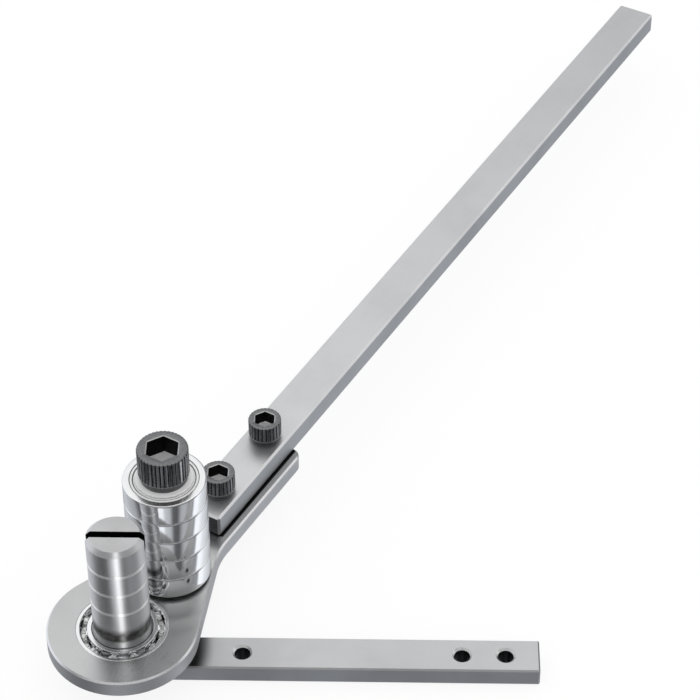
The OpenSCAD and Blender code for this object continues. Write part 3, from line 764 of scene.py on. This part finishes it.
def ball_steel():
    """Chrome steel balls: a mirror, with the faintest clouding of oil."""
    material, tree, shader = metal("ball_chrome", BALL_ROUGHNESS)
    smudge = place_group(tree, handling, Vector=place_coordinates(tree), Fineness=CLOUDS_PER_METRE)
    feed(tree, shader, Base_Color=mix_colours(tree, smudge, BALL_STEEL, BALL_CLOUD),
         Roughness=maths(tree, "ADD", times(tree, smudge, CLOUD_GLOSS), BALL_ROUGHNESS))
    return material


def cage_steel():
    """Pressed sheet steel: duller than the races, with the fine mottling that the press tools leave."""
    material, tree, shader = metal("pressed_cage", CAGE_ROUGHNESS)
    mottle = noise(tree, place_coordinates(tree), scale=MOTTLES_PER_METRE)
    roughness = (CAGE_ROUGHNESS + change for change in CAGE_GLOSS)
    feed(tree, shader, Metallic=CAGE_SHINE, Base_Color=mix_colours(tree, mottle, CAGE_STEEL, CAGE_MOTTLE),
         Roughness=smooth_step(tree, mottle, *NOISE_SPREAD, *roughness),
         Normal=relief(tree, mottle, MOTTLE_STRENGTH, MOTTLE_DEPTH))
    return material


ball_chrome, pressed_cage = ball_steel(), cage_steel()


def fill_bearing(prefix, count, track, ball_radius, phase, centre, ribbon_width, rivet_radius, body, nodes):
    """Balls and riveted cage of one bearing, on the body that carries them round."""
    hand_over(grow(prefix + "_balls", ball_ring, Count=count, Track_Radius=track, Ball_Radius=ball_radius,
                   Phase=phase, Centre=centre, Material=ball_chrome), body, "ball_steel", nodes[0])
    hand_over(grow(prefix + "_cage", cage, Count=count, Track_Radius=track,
                   Pocket_Radius=ball_radius + BALL_GAP, Phase=phase, Width=ribbon_width,
                   Thickness=RIBBON_THICK, Rivet_Radius=rivet_radius, Centre=centre, Material=pressed_cage),
              body, "cage_steel", nodes[1])


fill_bearing("bearing", MAIN_BALLS, main_track, MAIN_BALL_RADIUS, MAIN_BALL_PHASE,
             Vector((0.0, 0.0, (main_low + main_high) / 2)), RIBBON_WIDTH, RIVET_RADIUS, "main_ball_cage",
             ("main_balls", "main_cage"))

# Swing plate. Cut from 6 mm plate: a round eye bored for the main bearing, straight flanks and a narrow tang.
# The faces are ground along the tang, and every edge is bevelled; edges and bevels are painted lighter than
# the faces, as a highlight.
PLATE_FACE = (0.595, 0.60, 0.60)
# painted highlight: the plate's edges and bevels are coloured lighter than its faces
PLATE_EDGE = (0.67, 0.675, 0.685)
PLATE_BEVEL_HIGHLIGHT = (0.84, 0.84, 0.85)
PLATE_ROUGHNESS = 0.28
PLATE_EDGE_ROUGHNESS = 0.58
# painted shade: a dark strip on the plate along the handle's foot, as the shade under the handle
CREVICE_FADE, CREVICE_SHADE = 0.25 * MM, (0.03, 0.03, 0.03)
HANDLE_HALF, HANDLE_LIFT = 7.0 * MM, 0.55 * MM


def middle(node):
    """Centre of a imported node's box."""
    low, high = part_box(node)
    return (low + high) / 2


roller_axis = middle("roller_bolt")
roller_axis.z = 0.0
arm_turn = math.atan2(roller_axis.y, roller_axis.x)
handle_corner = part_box("handle_bar")[0]
handle_start = (handle_corner.x * math.cos(arm_turn) + handle_corner.y * math.sin(arm_turn)
                + HANDLE_HALF * math.sin(2 * arm_turn))
finish_node("swing_plate", ground_steel(
    "plate_steel", arm_turn, PLATE_FACE, PLATE_EDGE, PLATE_BEVEL_HIGHLIGHT, PLATE_ROUGHNESS, PLATE_EDGE_ROUGHNESS,
    crevice=(handle_start, HANDLE_HALF - HANDLE_LIFT, CREVICE_FADE, CREVICE_SHADE)))

# Bending roller. Five shielded ball bearings, 26 mm across, one on another on the same bolt. Each outer ring
# turns by itself with its two shields; a spacer ring holds them clear of the swing plate.
ROLLERS = 5
ROLLER_BORE, ROLLER_INNER_WALL, ROLLER_SHOULDER = 5.02 * MM, 7.2 * MM, 10.8 * MM
ROLLER_CORNER = 0.55 * MM
ROLLER_BALLS = 7
ROLLER_BALL_RADIUS = 2.38 * MM
ROLLER_RIBBON_WIDTH = 1.8 * MM
ROLLER_RIVET = 0.55 * MM
SHIELD_IN, SHIELD_OUT = 7.35 * MM, 10.78 * MM
SHIELD_THICK, SHIELD_STEP, SHIELD_RIM, SHIELD_KNEE = 0.4 * MM, 0.18 * MM, 0.9 * MM, 1.2 * MM
LIP_CORNER, SEAT_CORNER, RIM_CORNER = 0.08 * MM, 0.1 * MM, 0.15 * MM
SHIELD_STEEL = (1.0, 1.0, 1.0)
SHIELD_ROUGHNESS, SHIELD_FACE_ROUGHNESS = 0.16, 0.36
SHIM_STEEL = (1.0, 1.0, 1.0)
SHIM_ROUGHNESS, SHIM_FACE_ROUGHNESS = 0.2, 0.42
PLATED_SHINE = 0.1

ring_steel = polished_steel("roller_ring_steel", roller_axis, RACE_STEEL, RACE_ROUGHNESS, FACE_ROUGHNESS)
# the shields' joints and step carry thin lines of painted shade
shield_sheet = polished_steel(
    "shield_sheet", roller_axis, SHIELD_STEEL, SHIELD_ROUGHNESS, SHIELD_FACE_ROUGHNESS,
    seams=(SHIELD_IN, SHIELD_OUT - (SHIELD_RIM + SHIELD_KNEE) / 2, SHIELD_OUT), shine=PLATED_SHINE)
roller_track = (ROLLER_INNER_WALL + ROLLER_SHOULDER) / 2


def shield_outline(low, upper):
    """Section of a pressed shield: a rim seated in the ring, a step, and a flat lip near the inner race."""
    high = low + SHIELD_THICK
    step = -SHIELD_STEP if upper else SHIELD_STEP
    rim, knee, lip = SHIELD_OUT - SHIELD_RIM, SHIELD_OUT - SHIELD_KNEE, SHIELD_IN
    return rounded([(lip, low + step, LIP_CORNER), (knee, low + step, 0.0), (rim, low, 0.0),
                    (SHIELD_OUT, low, SEAT_CORNER), (SHIELD_OUT, high, RIM_CORNER), (rim, high, 0.0),
                    (knee, high + step, 0.0), (lip, high + step, LIP_CORNER)])


for number in range(1, ROLLERS + 1):
    ring, core = f"roller_outer_race_{number}", f"roller_inner_race_{number}"
    core_low, core_high = heights(core)
    sheet_low, sheet_high = heights(f"roller_shields_{number}")
    fit_race(f"roller_ring_{number}", ring, f"roller_ring_{number}", ring_steel,
             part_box(ring)[1].x - roller_axis.x, ROLLER_SHOULDER, ROLLER_CORNER, roller_track,
             ROLLER_BALL_RADIUS, centre=roller_axis)
    fit_race(f"roller_core_{number}", core, "swing_arm", ring_steel, ROLLER_BORE, ROLLER_INNER_WALL,
             TRACK_CORNER, roller_track, ROLLER_BALL_RADIUS, centre=roller_axis)
    lower_sheet = turned("roller_shields", shield_outline(sheet_low, False), centre=roller_axis)
    upper_sheet = turned("upper_shield", shield_outline(sheet_high - SHIELD_THICK, True), centre=roller_axis)
    pair = bmesh.new()
    pair.from_mesh(lower_sheet)
    pair.from_mesh(upper_sheet)
    pair.to_mesh(lower_sheet)
    pair.free()
    lower_sheet.set_sharp_from_angle(angle=SHARP_ANGLE)
    link(f"roller_shield_pair_{number}", lower_sheet, shield_sheet, f"roller_ring_{number}", "shield_steel",
         f"roller_shields_{number}")
    fill_bearing(f"roller_{number}", ROLLER_BALLS, roller_track, ROLLER_BALL_RADIUS, arm_turn,
                 Vector((roller_axis.x, roller_axis.y, (core_low + core_high) / 2)), ROLLER_RIBBON_WIDTH,
                 ROLLER_RIVET, f"roller_ball_cage_{number}",
                 (f"roller_balls_{number}", f"roller_cage_{number}"))

shim_sheet = polished_steel("shim_sheet", roller_axis, SHIM_STEEL, SHIM_ROUGHNESS, SHIM_FACE_ROUGHNESS,
                            shine=PLATED_SHINE)
for name in ("roller_spacer", "roller_shim"):
    finish_node(name, shim_sheet)

# Cap screws. Black socket cap screws with a straight knurl round the head, turned as blanks and then cut: the
# big one is the roller's axle, and its threaded end stands out under the swing plate.
BLACK_OXIDE = (0.202, 0.204, 0.207)
OXIDE_LIFT = 1.35
# colour of handling rubs on the oxide, and of the painted highlight line at the knurl's foot
OXIDE_RUB_AND_HIGHLIGHT = (0.34, 0.34, 0.35)
BLACK_ROUGHNESS, BLACK_GLOSS = 0.42, (-0.06, 0.08)
BLOTCHES_PER_METRE, BLOTCH_SPREAD = 900.0, (0.3, 0.75)
BLOTCH_STRENGTH, BLOTCH_DEPTH = 0.12, 0.00003
# painted shade: the head's knurled side coloured darker than its top
KNURL_SIDE_SHADE = (0.125, 0.126, 0.130)
KNURL_SHINE = 0.18
KNURL_PITCH, KNURL_DEPTH = 1.3 * MM, 0.3 * MM
STEPS_PER_GROOVE = 12
# crests coloured light in streaks: partly oxide rubbed off by wear, partly a painted highlight
WORN_CREST_AND_HIGHLIGHT = (0.50, 0.50, 0.51)
WORN_CRESTS_PER_METRE, WORN_SPREAD = 650.0, (0.47, 0.62)
VALLEY, CREST = (0.9, 0.2), (0.3, 0.0)  # steps down from the crests, as shares of the knurl's depth
OXIDE_SMUDGE_SHARE = 0.12
FOOT_LINE, SEAT_LINE = 0.2 * MM, 0.1 * MM
FOOT_SHARE, FOOT_HEIGHT_SHARE, RIM_SHARE = 0.915, 0.22, 0.03
HEAD_WALL = (0.88, 0.9)
# painted shade: the knurl's valleys and the socket's walls coloured near black
HOLLOW_SHADE = (0.006, 0.006, 0.006)
# painted highlight: the socket's mouth bevel coloured light
MOUTH_HIGHLIGHT = (0.55, 0.55, 0.55)
# painted light: the socket's floor coloured white
SOCKET_FLOOR_LIGHT = (1.0, 1.0, 1.0)
FLOOR_DULLNESS, FLOOR_SHINE = 1.7, 0.35
SOCKET_BEVEL, MOUTH_DEPTH = 0.32 * MM, 0.17 * MM
SOCKET_FLOOR_SHARE, SOCKET_FLOOR_SLOPE = 0.985, math.tan(math.radians(31))
SOCKET_TURN = math.radians(30)
HOLLOW_REACH, HOLLOW_STEP = 1.2, 0.99
MOUTH_LINE = (0.9, 0.1)  # its foot and top, as shares of the mouth's depth
TIP_BEVEL_SHARE = 0.2
THREAD_ROWS, THREAD_DEPTH_SHARE = 8, 0.54
AXLE_WEAR, AXLE_THREAD_BELOW = 1.0, 1.6 * MM

cutting, given, put_out = new_group(
    "GeometryNodeTree", "screw_cutting",
    {"Geometry": "Geometry", "Grooves": "Int", "Groove Depth": "Float", "Socket Turn": "Float",
     "Thread Pitch": "Float", "Thread Depth": "Float", "Centre": "Vector", "Material": "Material"},
    {"Geometry": "Geometry"})


def painted(name):
    """A value that the turned blank carries at each of its points."""
    return add_node(cutting, "GeometryNodeInputNamedAttribute", {"data_type": "FLOAT"}, Name=name).outputs[0]


spot = parted(cutting, cutting.nodes.new("GeometryNodeInputPosition").outputs[0])
angle = maths(cutting, "ARCTAN2", spot["Y"], spot["X"])
reach = axis_distance(cutting, spot)
groove_turns = maths(cutting, "DIVIDE", times(cutting, angle, given["Grooves"]), math.tau)
off_groove = maths(cutting, "ABSOLUTE", off_whole(cutting, groove_turns))
off_groove = maths(cutting, "DIVIDE", times(cutting, off_groove, math.tau, reach), given["Grooves"])
groove = times(cutting, painted("knurl"), maths(
    cutting, "MAXIMUM", maths(cutting, "SUBTRACT", given["Groove Depth"], off_groove), 0.0))
thread_turns = maths(cutting, "ADD", maths(cutting, "DIVIDE", spot["Z"], given["Thread Pitch"]),
                     maths(cutting, "DIVIDE", angle, math.tau))
crest = times(cutting, maths(cutting, "ABSOLUTE", off_whole(cutting, thread_turns)), 2.0)
thread = times(cutting, painted("thread"), times(
    cutting, maths(cutting, "SUBTRACT", 1.0, crest), given["Thread Depth"]))
side = maths(cutting, "DIVIDE", maths(cutting, "SUBTRACT", angle, given["Socket Turn"]), math.pi / 3)
side = times(cutting, maths(cutting, "SUBTRACT", side, maths(cutting, "FLOOR", side)), math.pi / 3)
corner = maths(cutting, "DIVIDE", 1.0, maths(
    cutting, "COSINE", maths(cutting, "SUBTRACT", side, math.pi / 6)))
hexagon = maths(cutting, "ADD", times(
    cutting, painted("socket"), maths(cutting, "SUBTRACT", corner, 1.0)), 1.0)
shrunk = times(cutting, hexagon, maths(
    cutting, "DIVIDE", maths(cutting, "SUBTRACT", reach, maths(cutting, "ADD", groove, thread)),
    maths(cutting, "MAXIMUM", reach, 1e-6)))
cut_spot = add_node(cutting, "ShaderNodeCombineXYZ", X=times(cutting, spot["X"], shrunk),
                    Y=times(cutting, spot["Y"], shrunk), Z=spot["Z"])
cut = add_node(cutting, "GeometryNodeSetPosition", Geometry=given["Geometry"], Position=cut_spot.outputs[0])
placed = add_node(cutting, "GeometryNodeTransform", Geometry=cut.outputs[0], Translation=given["Centre"])
finish_tree(cutting, placed.outputs[0], given["Material"], put_out["Geometry"])


def screw_blank(name, rows, steps):
    """Turned blank from (radius, height, knurl, socket, thread) rows; its points carry the last three."""
    mesh = turned(name, [row[:2] for row in rows], steps, solid=True)
    marks = {label: mesh.attributes.new(label, "FLOAT", "POINT") for label in ("knurl", "socket", "thread")}
    for index, vertex in enumerate(mesh.vertices):
        radius = math.hypot(vertex.co.x, vertex.co.y)
        row = min(rows, key=lambda r: abs(r[0] - radius) + abs(r[1] - vertex.co.z))
        for column, label in enumerate(("knurl", "socket", "thread"), start=2):
            marks[label].data[index].value = row[column]
    return mesh


def black_steel(name, centre, head, head_height, foot, rim, socket_reach, floor, wear):
    """Black oxide over a machined head. Painted light: the crests, partly as wear and partly as a highlight,
    a line at the knurl's foot and the socket's mouth. Painted shade: the knurl's side and valleys, and the
    socket's walls.

    The socket's floor is painted light, and wear is how bare the crests are, which also sets their
    painted highlight."""
    material, tree, shader = metal(name, BLACK_ROUGHNESS)
    place = place_coordinates(tree, centre)
    spot = parted(tree, place)
    height, distance = spot["Z"], axis_distance(tree, spot)
    blotch = noise(tree, place, scale=BLOTCHES_PER_METRE, detail=4.0)
    smudge = place_group(tree, handling, Vector=place, Fineness=SMUDGES_PER_METRE * 3)
    wall = smooth_step(tree, distance, *(head * share for share in HEAD_WALL))
    knurled = times(tree, within(tree, height, foot, head_height - rim), wall)
    # the head's side takes the painted shade
    side = times(tree, within(tree, height, SEAT_LINE, head_height - rim), wall)
    # the knurl's valleys take the painted shade
    valley = fade_out(tree, distance, *(head - KNURL_DEPTH * share for share in VALLEY))
    crest = smooth_step(tree, distance, *(head - KNURL_DEPTH * share for share in CREST))
    round_head = add_node(tree, "ShaderNodeCombineXYZ", X=spot["X"], Y=spot["Y"])
    streaks = noise(tree, round_head.outputs[0], scale=WORN_CRESTS_PER_METRE)
    # light crests: partly wear, partly a painted highlight
    worn_and_lit_crests = times(tree, knurled, crest, smooth_step(tree, streaks, *WORN_SPREAD, 0.0, wear))
    # painted highlight: a light line at the knurl's foot
    knurl_foot_highlight = times(tree, side, within(tree, height, foot - FOOT_LINE, foot + FOOT_LINE / 2))
    hollow = fade_out(tree, distance, socket_reach * HOLLOW_STEP, socket_reach)
    # the socket's walls take the painted shade
    walls = times(tree, hollow, within(tree, height, floor, head_height - MOUTH_DEPTH))
    # the socket's mouth takes the painted highlight
    mouth = times(tree, hollow, within(
        tree, height, *(head_height - MOUTH_DEPTH * share for share in MOUTH_LINE), FINE_FADE))
    # the socket's floor takes the painted light
    bottom = times(tree, hollow, within(tree, height, floor / 2, floor))
    tone = coated(tree, BLACK_OXIDE, [
        (smooth_step(tree, blotch, *BLOTCH_SPREAD), tuple(part * OXIDE_LIFT for part in BLACK_OXIDE)),
        (times(tree, smudge, OXIDE_SMUDGE_SHARE), OXIDE_RUB_AND_HIGHLIGHT), (side, KNURL_SIDE_SHADE),
        (times(tree, knurled, valley), HOLLOW_SHADE), (worn_and_lit_crests, WORN_CREST_AND_HIGHLIGHT), (knurl_foot_highlight, OXIDE_RUB_AND_HIGHLIGHT),
        (walls, HOLLOW_SHADE), (mouth, MOUTH_HIGHLIGHT), (bottom, SOCKET_FLOOR_LIGHT)])
    roughness = (BLACK_ROUGHNESS + change for change in BLACK_GLOSS)
    dull = times(tree, smooth_step(tree, blotch, *NOISE_SPREAD, *roughness),
                 smooth_step(tree, bottom, 0.0, 1.0, 1.0, FLOOR_DULLNESS))
    feed(tree, shader, Base_Color=tone, Metallic=smooth_step(tree, bottom, 0.0, 1.0, 1.0, FLOOR_SHINE),
         Roughness=maths(tree, "SUBTRACT", dull, times(tree, knurled, KNURL_SHINE)),
         Normal=relief(tree, blotch, BLOTCH_STRENGTH, BLOTCH_DEPTH))
    return material


def cap_screw(name, node, seat, shank, head, flats, socket_depth, pitch, wear, thread_from, thread_to):
    """Knurled socket cap screw in the place of a packed one; seat is the height on which its head stands.

    shank, head and flats are radii, and wear is how bare the knurl's crests are, which also sets their
    painted highlight."""
    low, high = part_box(node)
    axis = (low + high) / 2
    bottom, head_height = low.z - seat, high.z - seat
    foot, rim = head_height * FOOT_HEIGHT_SHARE, 2 * head * RIM_SHARE
    bevel = shank * TIP_BEVEL_SHARE
    floor = head_height - socket_depth
    count = round(math.tau * head / KNURL_PITCH)
    thread_rows = round((thread_to - thread_from) / pitch * THREAD_ROWS)
    threads = [(shank, thread_from + (thread_to - thread_from) * step / thread_rows, 0, 0,
                min(1.0, step / THREAD_ROWS, (thread_rows - step) / THREAD_ROWS))
               for step in range(thread_rows + 1)]
    rows = [(0.0, bottom, 0, 0, 0), (shank - bevel, bottom, 0, 0, 0), (shank, bottom + bevel, 0, 0, 0),
            *threads, (shank, 0.0, 0, 0, 0), (head * FOOT_SHARE, 0.0, 0, 0, 0), (head, foot, 0, 0, 0),
            (head, foot + KNURL_DEPTH, 1, 0, 0), (head, head_height - rim - KNURL_DEPTH * 0.3, 1, 0, 0),
            (head, head_height - rim, 1, 0, 0), (head - rim * 0.3, head_height - rim * 0.3, 0.85, 0, 0),
            (head - rim, head_height, 0, 0, 0), (flats + SOCKET_BEVEL, head_height, 0, 1, 0),
            (flats, head_height - MOUTH_DEPTH, 0, 1, 0), (flats, floor, 0, 1, 0),
            (flats * SOCKET_FLOOR_SHARE, floor, 0, 0, 0), (0.0, floor - flats * SOCKET_FLOOR_SLOPE, 0, 0, 0)]
    centre = Vector((axis.x, axis.y, seat))
    material = black_steel(name + "_oxide", centre, head, head_height, foot, rim, flats * HOLLOW_REACH,
                           floor, wear)
    blank = screw_blank(name, rows, count * STEPS_PER_GROOVE)
    piece = grow(name, cutting, seed=blank, Grooves=count, Groove_Depth=KNURL_DEPTH,
                 Socket_Turn=SOCKET_TURN, Thread_Pitch=pitch, Thread_Depth=pitch * THREAD_DEPTH_SHARE,
                 Centre=centre, Material=material)
    piece.data.set_sharp_from_angle(angle=SHARP_ANGLE)
    hand_over(piece, "swing_arm", "black_oxide", node)


bolt_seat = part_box("roller_shim")[1].z
plate_low, plate_high = heights("swing_plate")
cap_screw("roller_axle_screw", "roller_bolt", bolt_seat, shank=5.0 * MM, head=8.0 * MM, flats=4.8 * MM,
          socket_depth=6.5 * MM, pitch=1.5 * MM, wear=AXLE_WEAR,
          thread_from=plate_low - bolt_seat - AXLE_THREAD_BELOW, thread_to=plate_high - bolt_seat)

# Handle bar. Long flat steel bar, 14 x 8 mm, laid on the tang and held there by two smaller cap screws of the
# same make. Its wide faces are ground along its length, and its ends are painted dark as shade.
HANDLE_FACE = (0.73, 0.735, 0.74)
# the handle's edges: greyer as drawn, and darker also as painted shade
HANDLE_EDGE = (0.46, 0.47, 0.485)
# painted highlight: the handle's bevels are coloured lighter than its faces
HANDLE_BEVEL_HIGHLIGHT = (0.86, 0.86, 0.87)
# painted shade: the handle's ends are coloured near black
HANDLE_END_SHADE = (0.10, 0.10, 0.105)
SCREW_WEAR, SCREW_THREAD_ABOVE = 0.3, 0.4 * MM

handle_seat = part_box("handle_bar")[1].z
finish_node("handle_bar", ground_steel("handle_steel", arm_turn, HANDLE_FACE, HANDLE_EDGE, HANDLE_BEVEL_HIGHLIGHT,
                                       BAR_ROUGHNESS, EDGE_ROUGHNESS, shaded_ends=HANDLE_END_SHADE))
for place in ("inner", "outer"):
    cap_screw(f"{place}_handle_screw", f"handle_screw_{place}", handle_seat, shank=3.0 * MM, head=5.4 * MM,
              flats=3.15 * MM, socket_depth=4.4 * MM, pitch=1.0 * MM, wear=SCREW_WEAR,
              thread_from=plate_low - handle_seat + SCREW_THREAD_ABOVE, thread_to=plate_high - handle_seat)
